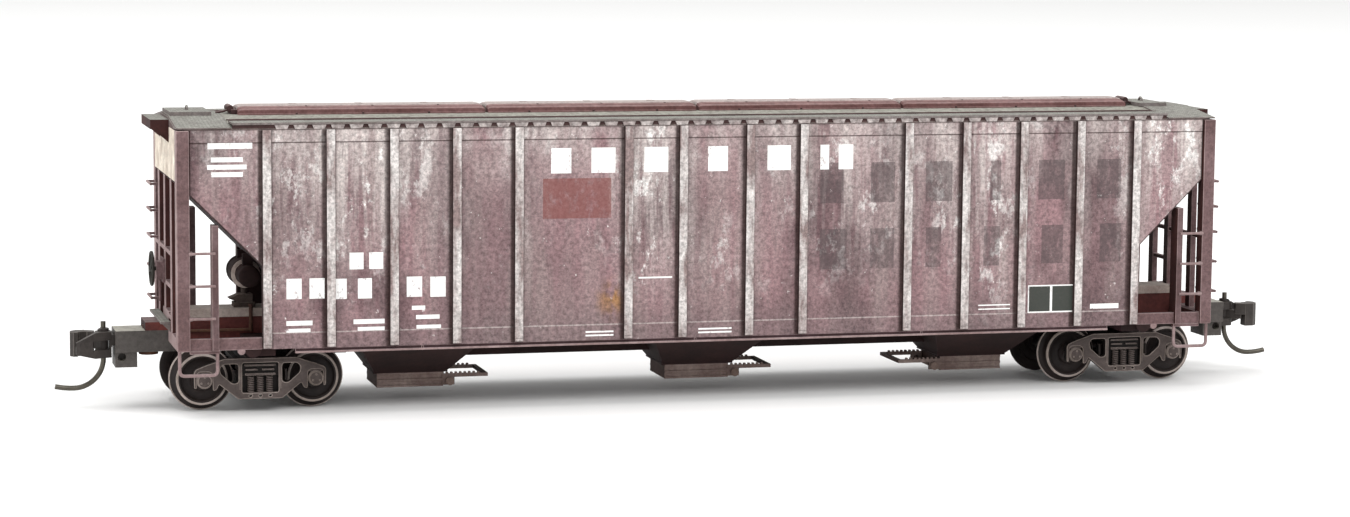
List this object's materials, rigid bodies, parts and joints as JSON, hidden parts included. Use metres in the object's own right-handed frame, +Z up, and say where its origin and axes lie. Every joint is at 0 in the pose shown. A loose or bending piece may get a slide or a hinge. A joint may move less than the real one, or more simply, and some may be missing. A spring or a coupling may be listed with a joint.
{
  "type": "model hopper car",
  "caption": "N scale covered hopper car with ribbed sides, slope-sheet ends, discharge bays, swivelling trucks and knuckle couplers.",
  "frame": {"origin": "lowest point of the wheel flanges, at the middle of the car", "axes": "+X along the car towards end b, +Y across the car to the far side, +Z up"},
  "size_m": [0.1268, 0.0204, 0.0293],
  "materials": {
    "side_paint": "weathered mauve-brown paint on moulded plastic",
    "roof_paint": "weathered gray-green paint on moulded plastic",
    "hatch_paint": "red-brown paint with pale dust on top",
    "under_paint": "dark red-brown paint",
    "brake_plastic": "dark matt plastic",
    "truck_plastic": "dark gray-brown matt plastic",
    "wheel_plastic": "dark brown matt plastic",
    "coupler_plastic": "dark gray-brown matt plastic",
    "axle_steel": "turned steel",
    "weight_steel": "cut steel strip",
    "screw_steel": "plated steel",
    "spring_wire": "bronze-coloured spring wire",
    "trip_pin_wire": "blackened steel wire"
  },
  "bodies": {
    "car": {"body_shell": "side_paint", "roof": "roof_paint", "hatch_cover_1": "hatch_paint", "hatch_cover_2": "hatch_paint", "hatch_cover_3": "hatch_paint", "hatch_cover_4": "hatch_paint", "running_board_near": "roof_paint", "running_board_far": "roof_paint", "end_walk_a": "roof_paint", "end_walk_b": "roof_paint", "underframe": "under_paint", "ballast_weight": "weight_steel", "hopper_bay_1": "under_paint", "hopper_bay_2": "under_paint", "hopper_bay_3": "under_paint", "outlet_gate_1": "under_paint", "outlet_gate_2": "under_paint", "outlet_gate_3": "under_paint", "gate_shafts": "under_paint", "end_cage_a": "side_paint", "end_cage_b": "side_paint", "ladder_a_near": "side_paint", "ladder_a_far": "side_paint", "ladder_b_near": "side_paint", "ladder_b_far": "side_paint", "brake_housing": "under_paint", "brake_step": "roof_paint", "air_reservoir": "under_paint", "control_valve": "under_paint", "brake_pipes": "under_paint", "truck_pin_a": "truck_plastic", "truck_pin_b": "truck_plastic", "coupler_box_a": "coupler_plastic", "coupler_box_b": "coupler_plastic", "box_lid_a": "coupler_plastic", "box_lid_b": "coupler_plastic", "box_screws": "screw_steel"},
    "truck_a": {"truck_frame_a": "truck_plastic"},
    "wheelset_a1": {"axle_a1": "axle_steel", "wheels_a1": "wheel_plastic"},
    "wheelset_a2": {"axle_a2": "axle_steel", "wheels_a2": "wheel_plastic"},
    "coupler_a": {"shank_top_a": "coupler_plastic", "shank_bottom_a": "coupler_plastic", "draft_spring_a": "spring_wire"},
    "knuckle_body_a": {"knuckle_a": "coupler_plastic", "trip_pin_a": "trip_pin_wire"},
    "truck_b": {"truck_frame_b": "truck_plastic"},
    "wheelset_b1": {"axle_b1": "axle_steel", "wheels_b1": "wheel_plastic"},
    "wheelset_b2": {"axle_b2": "axle_steel", "wheels_b2": "wheel_plastic"},
    "coupler_b": {"shank_top_b": "coupler_plastic", "shank_bottom_b": "coupler_plastic", "draft_spring_b": "spring_wire"},
    "knuckle_body_b": {"knuckle_b": "coupler_plastic", "trip_pin_b": "trip_pin_wire"},
    "brake_handwheel": {"brake_wheel": "brake_plastic"}
  },
  "joints": [
    {"name": "truck_a_swivel", "type": "hinge", "parent": "car", "child": "truck_a", "pos_m": [-0.0445, 0, 0.0045], "axis": [0, 0, 1], "range_deg": [-12, 12]},
    {"name": "wheelset_a1_roll", "type": "hinge", "parent": "truck_a", "child": "wheelset_a1", "pos_m": [-0.04985, 0, 0.0031], "axis": [0, 1, 0], "continuous": true},
    {"name": "wheelset_a2_roll", "type": "hinge", "parent": "truck_a", "child": "wheelset_a2", "pos_m": [-0.03915, 0, 0.0031], "axis": [0, 1, 0], "continuous": true},
    {"name": "coupler_a_swing", "type": "hinge", "parent": "car", "child": "coupler_a", "pos_m": [-0.0544, 0, 0.0065], "axis": [0, 0, 1], "range_deg": [-10, 10], "stiffness_Nm_per_rad": 0.00001},
    {"name": "knuckle_a_open", "type": "hinge", "parent": "coupler_a", "child": "knuckle_body_a", "pos_m": [-0.05873, 0, 0.0061], "axis": [0, 0, -1], "range_deg": [0, 25], "stiffness_Nm_per_rad": 0.00001},
    {"name": "truck_b_swivel", "type": "hinge", "parent": "car", "child": "truck_b", "pos_m": [0.0445, 0, 0.0045], "axis": [0, 0, 1], "range_deg": [-12, 12]},
    {"name": "wheelset_b1_roll", "type": "hinge", "parent": "truck_b", "child": "wheelset_b1", "pos_m": [0.03915, 0, 0.0031], "axis": [0, 1, 0], "continuous": true},
    {"name": "wheelset_b2_roll", "type": "hinge", "parent": "truck_b", "child": "wheelset_b2", "pos_m": [0.04985, 0, 0.0031], "axis": [0, 1, 0], "continuous": true},
    {"name": "coupler_b_swing", "type": "hinge", "parent": "car", "child": "coupler_b", "pos_m": [0.0544, 0, 0.0065], "axis": [0, 0, 1], "range_deg": [-10, 10], "stiffness_Nm_per_rad": 0.00001},
    {"name": "knuckle_b_open", "type": "hinge", "parent": "coupler_b", "child": "knuckle_body_b", "pos_m": [0.05873, 0, 0.0061], "axis": [0, 0, -1], "range_deg": [0, 25], "stiffness_Nm_per_rad": 0.00001},
    {"name": "brake_wheel_turn", "type": "hinge", "parent": "car", "child": "brake_handwheel", "pos_m": [-0.0539, 0.00115, 0.0132], "axis": [1, 0, 0], "continuous": true}
  ]
}
